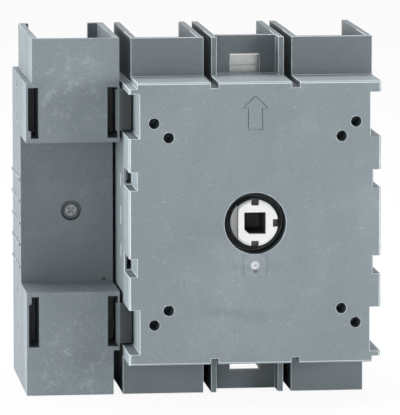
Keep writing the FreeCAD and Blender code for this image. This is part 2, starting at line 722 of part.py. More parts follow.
def make_rotor_shaft(label, start, end):
    body = new_body(label, y="rotor_axis_depth")
    half = "shaft_side/2"
    add(body, "bar", "YZ", start, end, [rectangle(f"-{half}", half, f"-{half}", half)])
    return body


def make_rotor_pole(label, centre, left_end, left_drum, right_drum, right_end):
    """Insulating drum of one pole between its two journals, slotted for the blades."""
    body = new_body(label, y="rotor_axis_depth")
    wide = "drum_radius"
    flat = "drum_radius*0.4142"
    add(body, "drum", "YZ", left_drum, right_drum,
        [[(wide, f"-{flat}"), (wide, flat), (flat, wide), (f"-{flat}", wide), (f"-{wide}", flat),
          (f"-{wide}", f"-{flat}"), (f"-{flat}", f"-{wide}"), (flat, f"-{wide}")]])
    if left_end != left_drum:
        add(body, "left_journal", "YZ", left_end, left_drum, circles=[("0", "0", "journal_radius")])
    add(body, "right_journal", "YZ", right_drum, right_end, circles=[("0", "0", "journal_radius")])
    half = "shaft_side/2 + seat_gap"
    cut(body, "shaft_way", "YZ", f"{left_end} - 1", f"{right_end} + 1",
        [rectangle(f"-({half})", half, f"-({half})", half)])
    plane = f"{centre} + blade_offset"
    wide = "bar_thickness/2 + blade_gap + blade_thickness + seat_gap"
    tall = "blade_half_height + seat_gap"
    cut(body, "blade_slot", "YZ", f"{plane} - ({wide})", f"{plane} + {wide}",
        [rectangle("-drum_radius - 1", "drum_radius + 1", f"-({tall})", tall)])
    return body


def make_moving_contact(label, centre):
    """Pair of copper blades that close over both fixed contacts of a pole; shown open."""
    body = new_body(label, x=f"{centre} + blade_offset", y="rotor_axis_depth")
    near = "bar_thickness/2 + blade_gap"
    far = "bar_thickness/2 + blade_gap + blade_thickness"
    nose = "blade_half_height - 2.2"
    shape = [("-blade_half_length", f"-({nose})"), ("-blade_half_length + 3", "-blade_half_height"),
             ("blade_half_length - 3", "-blade_half_height"), ("blade_half_length", f"-({nose})"),
             ("blade_half_length", nose), ("blade_half_length - 3", "blade_half_height"),
             ("-blade_half_length + 3", "blade_half_height"), ("-blade_half_length", nose)]
    add(body, "spacer", "YZ", f"-({near})", near,
        [rectangle("-shaft_side", "shaft_side", "-blade_half_height + 0.5", "blade_half_height - 0.5")])
    add(body, "right_blade", "YZ", near, far, [shape])
    add(body, "left_blade", "YZ", f"-({far})", f"-({near})", [shape])
    half = "shaft_side/2 + seat_gap"
    cut(body, "shaft_way", "YZ", f"-({far}) - 1", f"{far} + 1",
        [rectangle(f"-({half})", half, f"-({half})", half)])
    return body


def make_fixed_contact(label, centre, side):
    """Folded copper bar: a tongue for the clamp and an upright flange for the blades."""
    body = new_body(label, x=centre)
    inner = "blade_offset - bar_thickness/2"
    outer = "blade_offset + bar_thickness/2"
    start = "deck - 6"
    upright = [("flange_low", signed("flange_start", side)),
               ("flange_high - 1.5", signed("flange_start", side)),
               ("flange_high", signed("flange_start + 1.5", side)),
               ("flange_high", signed("deck - 0.6", side)), ("tongue_at", signed("deck - 0.6", side)),
               ("tongue_at", signed(start, side)), ("flange_low", signed(f"{start} - 4", side))]
    add(body, "flange", "YZ", inner, outer, [upright])
    tip = "tongue_reach - tongue_taper"
    tongue = [("-bar_half_width", signed(start, side)), ("bar_half_width", signed(start, side)),
              ("bar_half_width", signed(tip, side)), ("bar_half_width - tongue_taper", signed("tongue_reach", side)),
              ("-bar_half_width + tongue_taper", signed("tongue_reach", side)), ("-bar_half_width", signed(tip, side))]
    add(body, "tongue", "XZ", "tongue_at", "tongue_at + bar_thickness", [tongue])
    return body


def make_terminal_clamp(label, centre, side):
    """Steel strap bent into a loop around the tongue; it rises to the rear as its screw is turned."""
    body = new_body(label, x=centre, z=signed(CLAMP_AT, side))
    half = "cage_length/2"
    front = "tongue_at - cage_mouth - cage_front"
    rear = "tongue_at + bar_thickness + 0.3 + cage_rear"
    add(body, "loop", "XY", f"-{half}", half,
        [rectangle("-cage_half_width", "cage_half_width", front, rear)])
    soften(body, "bends", "cage_corner",
           lambda edge: edge.BoundBox.ZLength > 1 and edge.BoundBox.XLength < 0.01, "Chamfer")
    cut(body, "mouth", "XY", f"-{half}", half,
        [rectangle("-cage_half_width + cage_side", "cage_half_width - cage_side",
                   f"{front} + cage_front", f"{rear} - cage_rear")])
    cut(body, "thread", "XZ", f"{rear} - cage_rear", f"{rear} + 1",
        circles=[("0", "0", "screw_radius + seat_gap")])
    cut(body, "grip_grooves", "XZ", front, f"{front} + 0.5",
        [rectangle("-cage_half_width + 1.5", "cage_half_width - 1.5", low, f"{low} + 0.9")
         for low in ("-4.2", "-1.0", "2.2")])
    return body


def make_terminal_screw(label, centre, side):
    """Hexagon socket screw whose tip bears on the tongue."""
    body = new_body(label, x=centre, z=signed(CLAMP_AT, side))
    tip = "tongue_at + bar_thickness + seat_gap"
    top = "body_depth - rear_wall - 0.6"
    add(body, "shank", "XZ", tip, top, circles=[("0", "0", "screw_radius")])
    reach = "hex_width/1.7320508"
    hexagon = [(f"{reach}*cos({60 * i}°)", f"{reach}*sin({60 * i}°)") for i in range(6)]
    cut(body, "socket", "XZ", f"{top} - hex_depth", top, [hexagon])
    return body


def module_band(left, right, low, high, side):
    """A rectangle of the fourth pole, or its copy turned half a turn about the module's centre."""
    if side > 0:
        return rectangle(f"-module_centre + ({left})", f"-module_centre + ({right})", low, high)
    return rectangle(f"-module_centre - ({right})", f"-module_centre - ({left})", f"-({high})", f"-({low})")


def make_module_front():
    body = new_body("fourth_pole_front_housing")
    left = "-module_half_width"
    right = "module_half_width"
    add(body, "blocks", "XZ", "cover_depth", "parting",
        [module_band(left, right, "module_recess", "shoulder", side) for side in (1, -1)])
    add(body, "chambers", "XZ", "cover_depth", "parting",
        [module_band(f"{left} + module_step", right, "shoulder - overlap", "body_half_height", side)
         for side in (1, -1)])
    add(body, "floor", "XZ", "parting", "parting + module_floor",
        [rectangle("-module_centre - module_half_width", "-module_centre + module_half_width",
                   "-module_recess - 1.6", "module_recess + 1.6")])
    add(body, "screw_boss", "XZ", "parting + 1", "parting + module_floor + 0.9",
        circles=[("-module_screw_x", "-0.5", "module_counterbore - 0.2")])
    front = "cover_depth + chamber_front_wall"
    low = "deck + deck_wall"
    cut(body, "terminal_spaces", "XZ", front, "parting",
        [module_band("-module_chamber_half", "module_chamber_half", low, "body_half_height + 1", side)
         for side in (1, -1)])
    cut(body, "wide_ends", "XZ", front, "parting",
        [module_band(f"{left} + module_step + pole_wall", f"{right} - pole_wall",
                     "shoulder + 1.2", "body_half_height + 1", side) for side in (1, -1)])
    cut(body, "core_spaces", "XZ", front, "parting",
        [module_band("-module_chamber_half", "module_chamber_half", "module_recess + 1.6", "deck", side)
         for side in (1, -1)])
    slots = []
    for side in (1, -1):
        low_z = signed("module_slot_low", side)
        high_z = signed("module_slot_high", side)
        slots.append(rectangle("-left_slot_outer", "-left_slot_inner", low_z, high_z))
        slots.append(rectangle("-right_slot_outer", "-right_slot_inner", low_z, high_z))
    cut(body, "hook_slots", "XZ", "cover_depth", "cover_depth + module_slot_depth", slots)
    cut(body, "screw_counterbore", "XZ", "parting", "parting + 1.2",
        circles=[("-module_screw_x", "-0.5", "module_counterbore")])
    cut(body, "screw_hole", "XZ", "parting", "parting + module_floor + 0.9",
        circles=[("-module_screw_x", "-0.5", "screw_pilot + seat_gap")])
    cut(body, "clip_notches", "YZ", "-module_centre + module_half_width - 1.2",
        "-module_centre + module_half_width",
        [rectangle("cover_depth + 0.4", "cover_depth + 2.8", signed("side_window_low + 0.2", side),
                   signed("side_window_high - 0.2", side)) for side in (1, -1)])
    return body


def make_module_rear():
    body = new_body("fourth_pole_rear_housing")
    left = "-module_half_width"
    right = "module_half_width"
    add(body, "block", "XZ", "parting", "body_depth",
        [rectangle(f"-module_centre + {left}", f"-module_centre + {right}", "-shoulder", "shoulder")])
    add(body, "chambers", "XZ", "parting", "body_depth",
        [module_band(f"{left} + module_step", right, "shoulder - overlap", "body_half_height - rear_step", side)
         for side in (1, -1)])
    edge = "module_recess + 1.6 + seat_gap"
    cut(body, "floor_seat", "XZ", "parting", "parting + module_floor",
        [rectangle("-module_centre - module_half_width - 1", "-module_centre + module_half_width + 1",
                   f"-({edge})", edge)])
    floor = "body_depth - rear_wall"
    side_inner = "module_half_width - pole_wall"
    cut(body, "contact_chamber", "XZ", "parting", floor,
        [rectangle(f"-module_centre - ({side_inner})", f"-module_centre + {side_inner}", "-deck", "deck")])
    add_rear_pole(body, "pole_4", "-module_centre", "module_chamber_half", floor)
    cut(body, "wide_ends", "XZ", "parting", floor,
        [module_band(f"{left} + module_step + pole_wall", f"{right} - pole_wall",
                     "shoulder + 1.2", "body_half_height + 1", side) for side in (1, -1)])
    bearing = "journal_radius + running_gap"
    cut(body, "bearing", "YZ", "-module_centre - module_half_width + 0.6",
        "-module_centre + module_half_width", circles=[("rotor_axis_depth", "0", bearing)])
    slits = []
    for height in ("34.6", "24.6", "11.0"):
        for side in (1, -1):
            slits.append(rectangle("rear_slit_at", "rear_slit_at + rear_slit_width", signed(f"{height} - 1.5", side),
                                   signed(f"{height} + 1.5", side)))
    cut(body, "side_slits", "YZ", "-module_centre - module_half_width",
        "-module_centre - module_half_width + slit_depth", slits)
    ribs = []
    for i in range(5):
        top = f"side_rib_top - {i}*side_rib_pitch"
        ribs.append(rectangle("parting + 2", "body_depth", f"{top} - side_rib_width/2",
                              f"{top} + side_rib_width/2"))
    add(body, "side_ribs", "YZ", "-module_centre - module_half_width - side_rib_height",
        "-module_centre - module_half_width + 0.3", ribs)
    return body


def make_coupling_clip(label, side):
    """Clip that bridges from the fourth pole into the side window of the main block."""
    body = new_body(label)
    low = signed("side_window_low + 0.4", side)
    high = signed("side_window_high - 0.4", side)
    left = "-module_centre + module_half_width - 1.0"
    right = "-panel_width/2 + side_window_deep - 0.4"
    add(body, "bridge", "XZ", "cover_depth + 0.6", "cover_depth + 2.6", [rectangle(left, right, low, high)])
    add(body, "hook", "XZ", "cover_depth + 2", "side_window_depth - 0.3",
        [rectangle(f"{right} - 1.4", right, low, high)])
    return body


def make_turned(label, x, z, points, y="0"):
    body = new_body(label, x=x, y=y, z=z)
    turn(body, "turned", points, "V_Axis")
    return body


def make_housing_screws():
    """Four long screws from the rear, joined as one group of separate solids."""
    solids = []
    top = size("body_depth") - 1.0
    head = size("housing_head_height")
    length = size("housing_screw_length")
    for x in (1, -1):
        for z in (1, -1):
            foot = FreeCAD.Vector(x * size("post_x"), top, z * size("post_z"))
            back = FreeCAD.Vector(0, -1, 0)
            screw = Part.makeCylinder(size("housing_head_radius"), head, foot, back)
            shank = Part.makeCylinder(size("housing_screw_radius"), length, foot, back)
            slot = Part.makeBox(4.6, 0.8, 0.7, foot - FreeCAD.Vector(2.3, 0.8, 0.35))
            solids.append(screw.fuse(shank).cut(slot).removeSplitter())
    return keep_shape("housing_screws", Part.makeCompound(solids))


def check_parts():
    """Stops on a failed feature, an empty shape or a cut that removed nothing."""
    faults = []
    for item in doc.Objects:
        if "Invalid" in item.State or "Error" in item.State:
            faults.append(f"{item.Name} failed: {item.State}")
        elif item.TypeId == "PartDesign::Pocket":
            if item.Shape.Volume > item.BaseFeature.Shape.Volume - 0.01:
                faults.append(f"{item.Name} cut nothing")
    for part in PARTS:
        if part.Shape.isNull() or not part.Shape.isValid():
            faults.append(f"{part.Label} has no valid shape")
        elif len(part.Shape.Solids) != GROUPS.get(part.Label, 1):
            faults.append(f"{part.Label} has {len(part.Shape.Solids)} solids")
    if faults:
        raise RuntimeError("; ".join(faults))


make_front_housing()
make_rear_housing()
make_contact_cover()
make_shaft_coupler()
make_drive_gear()
make_rotor_gear()
make_snap_spring()
make_module_front()
make_module_rear()

JOINT = "-pole_pitch - blade_offset - bar_thickness - 3"
make_rotor_shaft("rotor_shaft", JOINT, "pole_pitch + pole_half_width - 1")
make_rotor_shaft("coupling_shaft", "-module_centre - pole_half_width - 0.5", f"{JOINT} - 0.1")

WALL_OUT = "pole_half_width - pole_wall"
WALL_IN = "pole_pitch - pole_half_width + pole_wall"
END_WALL = "panel_width/2 - pole_wall - 1"
MIDDLE = "pole_pitch/2 - 0.05"
GEAR_BACK = "gear_module*gear_teeth/2 + (1.25*gear_module + gear_rim)/sqrt(2) + 0.1"
make_rotor_pole("rotor_pole_1", "-pole_pitch", "-panel_width/2 + 0.1", f"-({END_WALL}) + end_play",
                f"-({WALL_IN}) - end_play", f"-({MIDDLE}) - 0.1")
make_rotor_pole("rotor_pole_2", "0", f"-({MIDDLE})", f"-({WALL_OUT}) + end_play",
                f"{WALL_OUT} - end_play", f"{MIDDLE} - 0.1")
make_rotor_pole("rotor_pole_3", "pole_pitch", GEAR_BACK, GEAR_BACK,
                f"{END_WALL} - end_play", f"{END_WALL} + 1.2")
make_rotor_pole("rotor_pole_4", "-module_centre", "-module_centre - module_half_width + 0.8",
                "-module_centre - module_half_width + pole_wall + end_play",
                "-module_centre + module_half_width - pole_wall - end_play",
                "-module_centre + module_half_width - 0.1")

for pole, centre in list(POLES.items()) + [("4", "-module_centre")]:
    make_moving_contact(f"moving_contact_{pole}", centre)
    for end, side in ENDS.items():
        make_fixed_contact(f"{end}_fixed_contact_{pole}", centre, side)
        make_terminal_clamp(f"{end}_clamp_{pole}", centre, side)
        make_terminal_screw(f"{end}_clamp_screw_{pole}", centre, side)
for end, side in ENDS.items():
    make_coupling_clip(f"{end}_coupling_clip", side)
make_turned("bearing_pin", "0", "-pin_drop",
            [("0", "0.2"), ("pin_radius", "0.2"), ("pin_radius", "pin_depth - seat_gap"),
             ("0", "pin_depth - seat_gap")])
make_turned("fourth_pole_screw", "-module_screw_x", "-0.5",
            [("0", "0.4"), ("module_screw_radius", "0.4"), ("module_screw_radius", "1.2"),
             ("screw_pilot", "1.2"), ("screw_pilot", "module_floor + 0.8"), ("0", "module_floor + 0.8")],
            y="parting")
make_housing_screws()

doc.recompute()
check_parts()
for part in PARTS:
    part.Shape.exportStep(f"parts/{part.Label}.step")
print(len(PARTS), "parts written")
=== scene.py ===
import json
import math

import bmesh
import bpy
from mathutils import Matrix, Vector


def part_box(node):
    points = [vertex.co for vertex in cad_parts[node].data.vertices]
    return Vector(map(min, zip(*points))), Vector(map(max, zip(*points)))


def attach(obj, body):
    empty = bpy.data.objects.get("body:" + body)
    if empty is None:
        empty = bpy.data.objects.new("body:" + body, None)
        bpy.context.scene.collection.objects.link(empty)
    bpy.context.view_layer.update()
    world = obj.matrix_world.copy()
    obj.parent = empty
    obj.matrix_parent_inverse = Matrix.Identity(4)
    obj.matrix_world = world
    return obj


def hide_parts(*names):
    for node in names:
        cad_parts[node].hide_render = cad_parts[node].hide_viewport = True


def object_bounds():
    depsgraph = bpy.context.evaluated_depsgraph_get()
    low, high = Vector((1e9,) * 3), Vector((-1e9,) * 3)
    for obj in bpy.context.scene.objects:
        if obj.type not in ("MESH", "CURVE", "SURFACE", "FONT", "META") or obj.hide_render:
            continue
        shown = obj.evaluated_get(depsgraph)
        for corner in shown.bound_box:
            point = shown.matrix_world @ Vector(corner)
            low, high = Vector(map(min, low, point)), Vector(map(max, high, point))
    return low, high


bl_info = {
    "name": "Switch disconnector finish",
    "version": (1, 0, 0),
    "blender": (4, 5, 0),
    "location": "3D View > Sidebar > Switch",
    "description": "Finishes and fine details of a rotary switch disconnector",
    "category": "Object",
}

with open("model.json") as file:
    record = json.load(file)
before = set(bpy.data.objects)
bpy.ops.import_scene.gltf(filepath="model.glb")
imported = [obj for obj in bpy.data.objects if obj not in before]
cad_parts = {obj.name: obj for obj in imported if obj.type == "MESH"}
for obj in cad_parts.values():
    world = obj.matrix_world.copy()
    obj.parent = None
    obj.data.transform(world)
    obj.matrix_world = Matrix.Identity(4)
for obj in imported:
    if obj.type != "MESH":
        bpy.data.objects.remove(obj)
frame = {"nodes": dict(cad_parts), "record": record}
CAD_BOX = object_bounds()
NODES = frame["nodes"]
BODY_OF = {node: body for body, nodes in frame["record"]["behaviour"]["bodies"].items() for node in nodes}
MM = 0.001
POLE_X = {"1": -22.5, "2": 0.0, "3": 22.5, "4": -48.88}
ENDS = {"upper": 1, "lower": -1}
SCREW_LOW, SCREW_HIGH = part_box("upper_clamp_screw_2")
SCREW_Z = (SCREW_LOW.z + SCREW_HIGH.z) / 2 / MM
FINE_EDGE = 0.0002
SHADE_ANGLE = math.radians(40)
WHITE = (1.0, 1.0, 1.0, 1.0)

# Places and sizes in millimetres of what is cut into the solids or added to them

PIN_Z = -11.7
MODULE_SCREW = (-47.7, -0.5)
RING_RADII = (2.88, 1.95)
DIMPLE = (-38.4, -20.2)
DIMPLE_RADIUS = 0.55
INSERT_REACH = 3.2
INSERT_LINE = 0.07
LIP_SPANS = ((-61.7, -58.0), (-39.6, -36.1))
LIP_HEIGHTS = (36.55, 37.4)
TAB_SPAN = (-61.5, -60.55)
TAB_HEIGHTS = (22.0, 24.3)
CLAMP_GROOVES = (37.35, 38.4, 41.15)
GROOVE_DEPTH = 0.3
STEM_HALF_WIDTH = 2.05
HEAD_HALF_WIDTH = 3.8

# What the arrow's head loses of its half width and of its tip for each millimetre of inset

HEAD_INSET = 2.46
TIP_INSET = 1.4


# Sizes and colours that can be changed in the sidebar


class FinishSettings(bpy.types.PropertyGroup):
    housing: bpy.props.FloatVectorProperty(
        name="Housing", description="Colour of the moulded housings", subtype="COLOR", size=3,
        default=(0.236, 0.279, 0.302), min=0.0, max=1.0)
    housing_worn: bpy.props.FloatVectorProperty(
        name="Worn edges", description="Paler colour of rubbed places on the housings", subtype="COLOR",
        size=3, default=(0.43, 0.475, 0.50), min=0.0, max=1.0)
    coupler: bpy.props.FloatVectorProperty(
        name="Coupler", description="Colour of the white shaft coupler", subtype="COLOR", size=3,
        default=(0.80, 0.81, 0.79), min=0.0, max=1.0)
    plating: bpy.props.FloatVectorProperty(
        name="Plating", description="Colour of the plated clamps and screws", subtype="COLOR", size=3,
        default=(0.78, 0.78, 0.77), min=0.0, max=1.0)
    grain: bpy.props.FloatProperty(
        name="Moulded grain", description="Height of the moulded surface's grain", subtype="DISTANCE",
        unit="LENGTH", default=0.00003, min=0.0, max=0.001, precision=6)


class CoverSettings(bpy.types.PropertyGroup):
    edge: bpy.props.FloatProperty(
        name="Edge radius", description="Rounding of the housings' outer edges", subtype="DISTANCE",
        unit="LENGTH", default=0.00024, min=0.00002, max=0.001, precision=5)
    arrow_tip: bpy.props.FloatProperty(
        name="Arrow tip", description="Height of the arrow's tip over the shaft", subtype="DISTANCE",
        unit="LENGTH", default=0.0356, min=0.02, max=0.038, precision=4)
    arrow_neck: bpy.props.FloatProperty(
        name="Arrow neck", description="Height of the arrow head's lower edge", subtype="DISTANCE",
        unit="LENGTH", default=0.0319, min=0.02, max=0.038, precision=4)
    arrow_foot: bpy.props.FloatProperty(
        name="Arrow foot", description="Height of the arrow's lower end", subtype="DISTANCE",
        unit="LENGTH", default=0.0259, min=0.02, max=0.038, precision=4)
    arrow_depth: bpy.props.FloatProperty(
        name="Arrow depth", description="How deep the arrow is sunk into the cover", subtype="DISTANCE",
        unit="LENGTH", default=0.0003, min=0.00005, max=0.001, precision=5)
    arrow_line: bpy.props.FloatProperty(
        name="Arrow line", description="Width of the arrow's outline", subtype="DISTANCE",
        unit="LENGTH", default=0.00024, min=0.0001, max=0.001, precision=5)


class ThreadSettings(bpy.types.PropertyGroup):
    pitch: bpy.props.FloatProperty(
        name="Thread pitch", description="Pitch of the clamp screws' thread", subtype="DISTANCE",
        unit="LENGTH", default=0.00125, min=0.0005, max=0.003, precision=5)
    depth: bpy.props.FloatProperty(
        name="Thread depth", description="Depth of the clamp screws' thread", subtype="DISTANCE",
        unit="LENGTH", default=0.0006, min=0.0002, max=0.002, precision=5)
    socket: bpy.props.FloatProperty(
        name="Socket width", description="Width of the clamp screws' hexagon socket", subtype="DISTANCE",
        unit="LENGTH", default=0.004, min=0.002, max=0.006, precision=4)


class StageSettings(bpy.types.PropertyGroup):
    yaw: bpy.props.FloatProperty(
        name="Camera turn", description="Camera's turn to the left of the front view", subtype="ANGLE",
        unit="ROTATION", default=math.radians(6.48))
    pitch: bpy.props.FloatProperty(
        name="Camera height", description="Camera's angle above the shaft's level", subtype="ANGLE",
        unit="ROTATION", default=math.radians(7.31))
    distance: bpy.props.FloatProperty(
        name="Camera distance", description="Distance from the camera to the front face", subtype="DISTANCE",
        unit="LENGTH", default=1.3766, min=0.3, max=5.0)
    lens: bpy.props.FloatProperty(
        name="Lens", description="Focal length for a 36 mm sensor", default=433.7, min=50.0, max=2000.0)


# Shading, written as expressions on sockets


class Shade:
    """One output of a node, on which sums can be written."""

    def __init__(self, nodes, socket):
        self.nodes = nodes
        self.socket = socket

    def maths(self, operation, first, second):
        return self.nodes.make("ShaderNodeMath", {"operation": operation}, {0: first, 1: second})

    def __add__(self, other):
        return self.maths("ADD", self, other)

    def __radd__(self, other):
        return self.maths("ADD", other, self)

    def __sub__(self, other):
        return self.maths("SUBTRACT", self, other)

    def __rsub__(self, other):
        return self.maths("SUBTRACT", other, self)

    def __mul__(self, other):
        return self.maths("MULTIPLY", self, other)

    def __rmul__(self, other):
        return self.maths("MULTIPLY", other, self)


class Nodes:
    """The nodes of a material or of the world."""

    def __init__(self, tree):
        self.tree = tree

    def make(self, kind, settings, values, output=0):
        """Adds a node: its settings first, then its sockets; gives back one of its outputs, if it has any."""
        node = self.tree.nodes.new(kind)
        for setting, value in settings.items():
            setattr(node, setting, value)
        for socket, value in values.items():
            self.feed(node.inputs[socket], value)
        return Shade(self, node.outputs[output]) if node.outputs else None

    def feed(self, socket, value):
        if isinstance(value, Shade):
            self.tree.links.new(value.socket, socket)
        else:
            socket.default_value = value


class Finish(Nodes):
    """A material with one principled shader and the nodes that feed it."""

    def __init__(self, name, **plain):
        self.material = bpy.data.materials.new(name)
        self.material.use_nodes = True
        super().__init__(self.material.node_tree)
        self.shader = self.tree.nodes["Principled BSDF"]
        self.give(**plain)
        self.place = self.make("ShaderNodeTexCoord", {}, {}, "Object")

    def give(self, **fed):
        """Sets or links the shader's sockets, named with underscores for spaces."""
        for socket, value in fed.items():
            self.feed(self.shader.inputs[socket.replace("_", " ")], value)

    def parts(self):
        """The place across, into the depth and upwards, in metres."""
        split = self.make("ShaderNodeSeparateXYZ", {}, {0: self.place}).socket.node
        return [Shade(self, part) for part in split.outputs]

    def stretched(self, scale, turn=(0.0, 0.0, 0.0)):
        return self.make("ShaderNodeMapping", {}, {"Vector": self.place, "Scale": scale, "Rotation": turn})

    def noise(self, scale, detail=3.0, place=None, rough=0.5):
        return self.make("ShaderNodeTexNoise", {}, {"Vector": place or self.place, "Scale": scale,
                                                    "Detail": detail, "Roughness": rough})

    def between(self, value, low, high):
        """0 below low, 1 above high and smooth between them."""
        return self.make("ShaderNodeMapRange", {"interpolation_type": "SMOOTHSTEP"},
                         {"Value": value, "From Min": low, "From Max": high})

    def size_of(self, value):
        """The value without its sign."""
        return self.make("ShaderNodeMath", {"operation": "ABSOLUTE"}, {0: value})

    def rim(self):
        """1 on the narrow faces that round an edge, 0 elsewhere."""
        return self.make("ShaderNodeAttribute", {"attribute_name": "rim"}, {}, "Fac")

    def near(self, x, y, z, reach, soft=0.5):
        """1 around a place given in millimetres, falling to 0 at its reach."""
        away = self.make("ShaderNodeVectorMath", {"operation": "DISTANCE"},
                         {0: self.place, 1: (x * MM, y * MM, z * MM)}, "Value")
        return 1.0 - self.between(away, reach * soft * MM, reach * MM)

    def mix(self, mask, under, over):
        return self.make("ShaderNodeMix", {"data_type": "RGBA"}, {0: mask, 6: under, 7: over}, 2)

    def bump(self, height, distance, strength=1.0):
        return self.make("ShaderNodeBump", {}, {"Height": height, "Distance": distance, "Strength": strength})


def rgba(colour, share=1.0):
    """A colour made darker or paler, with its alpha."""
    return (colour[0] * share, colour[1] * share, colour[2] * share, 1.0)


def rubbed_places(finish):
    """Pale rubbed patches, broken up into flecks and dabs, with more of them on the module's two blocks."""
    patches = finish.between(finish.noise(48.0, 5.0, rough=0.62), 0.48, 0.70)
    flecks = finish.between(finish.noise(1500.0, 3.0, rough=0.75), 0.50, 0.66)
    dabs = finish.between(finish.noise(330.0, 4.0, rough=0.65), 0.50, 0.70)
    blocks = finish.near(-49.0, 18.0, -42.0, 15.0, 0.3) + 0.8 * finish.near(-49.0, 18.0, 36.0, 15.0, 0.3)
    return 0.5 * patches * (0.25 + 0.75 * flecks) + 0.5 * dabs * flecks + 0.6 * blocks * dabs


def flow_marks(finish, flow, colour):
    """Cloudy colour from the flow of the melt, with a fine dark speckle and drifts below the shaft."""
    base = finish.mix(flow, rgba(colour, 0.74), rgba(colour, 1.22))
    speckle = finish.between(finish.noise(1700.0, 2.0, rough=0.7), 0.36, 0.64)
    base = finish.mix(speckle * 0.26, base, rgba(colour, 0.62))
    drifts = finish.noise(1.0, 3.0, finish.stretched((30.0, 30.0, 95.0), (0.0, -0.75, 0.0)), 0.55)
    streaks = finish.between(drifts, 0.50, 0.68) * finish.near(-4.0, 0.0, -20.0, 30.0, 0.2)
    return finish.mix(streaks * 0.42, base, rgba(colour, 0.62))


def painted_recess_shade(finish, base, colour):
    """Painted shade where shade falls: darkens the terminal walls, the rear of the block and the well round
    the coupler, the well less towards its top.
    """
    across, depth, upward = finish.parts()
    walls = finish.between(depth, 0.013, 0.0178) * finish.between(across, -0.0358, -0.0352)
    base = finish.mix(walls * 0.48, base, rgba(colour, 0.30))
    base = finish.mix(finish.between(depth, 0.019, 0.034) * 0.34, base, rgba(colour, 0.30))
    well = finish.near(0.5, 9.0, -0.5, 12.5, 0.75) * finish.between(depth, 0.0006, 0.005)
    return finish.mix(well * (0.92 - finish.between(upward, 0.0, 0.007) * 0.22), base, rgba(colour, 0.14))


def barrier_grooves(finish):
    """1 in the grooves for the phase barriers, beside the middle pole."""
    across, depth, upward = finish.parts()
    beside = finish.size_of(finish.size_of(across) - 0.01125)
    beyond = finish.between(finish.size_of(upward), 0.0310, 0.0312) * finish.between(depth, 0.0002, 0.0004)
    return (1.0 - finish.between(beside, 0.00100, 0.00115)) * beyond


def parting_seam(finish):
    """1 on the line where the front and rear halves meet."""
    depth, upward = finish.parts()[1:]
    seam = 1.0 - finish.between(finish.size_of(depth - 0.038), 0.0002, 0.0004)
    return seam * finish.between(finish.size_of(upward), 0.0212, 0.0215)


def moulded_plastic(name, colour, worn, grain, wear=0.85, painted_shade=0.0):
    """Moulded plastic: flow marks, rubbed places, fine scratches, dark joints and a grain, with painted shade
    in the recesses, in the barrier grooves and towards the right of the clips, a painted shadow under the
    bearing pin, and pale edges that are partly edge wear and partly a painted highlight.
    """
    finish = Finish(name, IOR=1.47)
    flow = finish.noise(1.0, 4.0, finish.stretched((34.0, 20.0, 22.0), (0.0, 0.7, 0.0)), 0.6)
    rubbed = rubbed_places(finish) * wear
    strokes = finish.noise(1.0, 2.0, finish.stretched((260.0, 60.0, 900.0), (0.0, 0.9, 0.0)), 0.5)
    groove = barrier_grooves(finish)
    base = finish.mix(rubbed, flow_marks(finish, flow, colour), rgba(worn))
    base = finish.mix(finish.between(strokes, 0.68, 0.73) * 0.2, base, rgba(worn, 1.2))
    # Painted shade in the terminal walls, the block's rear and the well round the coupler
    base = painted_recess_shade(finish, base, colour)
    # Painted shade, near black, inside the barrier grooves
    base = finish.mix(groove * 0.9, base, rgba(colour, 0.12))
    base = finish.mix(parting_seam(finish) * 0.7, base, rgba(colour, 0.2))
    base = finish.mix(finish.near(0.0, 0.0, PIN_Z, 3.4, 0.9) * 0.10, base, rgba(worn))
    # Painted shadow under the bearing pin
    base = finish.mix(finish.near(0.1, 0.0, PIN_Z - 1.5, 0.9, 0.4) * 0.8, base, rgba(colour, 0.3))
    # Painted shade across the clips, growing towards the right where they reach into the terminal windows
    base = finish.mix(finish.between(finish.parts()[0], -0.0385, -0.0335) * painted_shade, base, rgba(colour, 0.12))
    # Pale edges, partly edge wear and partly a painted highlight; weaker on the clips and none in the barrier
    # grooves
    base = finish.mix(finish.rim() * (1.0 - groove) * (0.9 - painted_shade), base, rgba(worn, 1.8))
    relief = finish.bump(finish.noise(3200.0, rough=0.6) + 0.5 * finish.noise(700.0, 2.0), grain, 0.8)
    finish.give(Base_Color=base, Roughness=0.5 + 0.12 * flow - 0.10 * rubbed, Normal=relief)
    return finish.material


def plated_metal(name, colour, roughness=0.22):
    """Bright plating with drawn streaks, dull spots and small dents."""
    finish = Finish(name, Metallic=1.0)
    streaks = finish.noise(1.0, 3.0, finish.stretched((120.0, 120.0, 2600.0)), 0.5)
    spots = finish.between(finish.noise(420.0, 4.0), 0.55, 0.75)
    base = finish.mix(spots * 0.6, rgba(colour), rgba(colour, 0.80))
    finish.give(Base_Color=base, Roughness=roughness + 0.12 * streaks + 0.14 * spots,
                Normal=finish.bump(streaks + 0.6 * spots, 0.00001, 0.5))
    return finish.material


def rotor_plastic(name, colour):
    """Glass-filled dark plastic with short pale fibres at the surface."""
    finish = Finish(name, IOR=1.5)
    fibres = finish.noise(1.0, 2.0, finish.stretched((500.0, 2600.0, 2600.0)), 0.6)
    fibre = finish.between(fibres, 0.62, 0.70)
    cloud = finish.noise(120.0, 3.0)
    base = finish.mix(cloud, rgba(colour, 0.8), rgba(colour, 1.25))
    base = finish.mix(fibre * 0.25, base, rgba(colour, 2.6))
    finish.give(Base_Color=base, Roughness=0.48 + 0.16 * cloud - 0.1 * fibre,
                Normal=finish.bump(fibre + cloud, 0.00002, 0.6))
    return finish.material


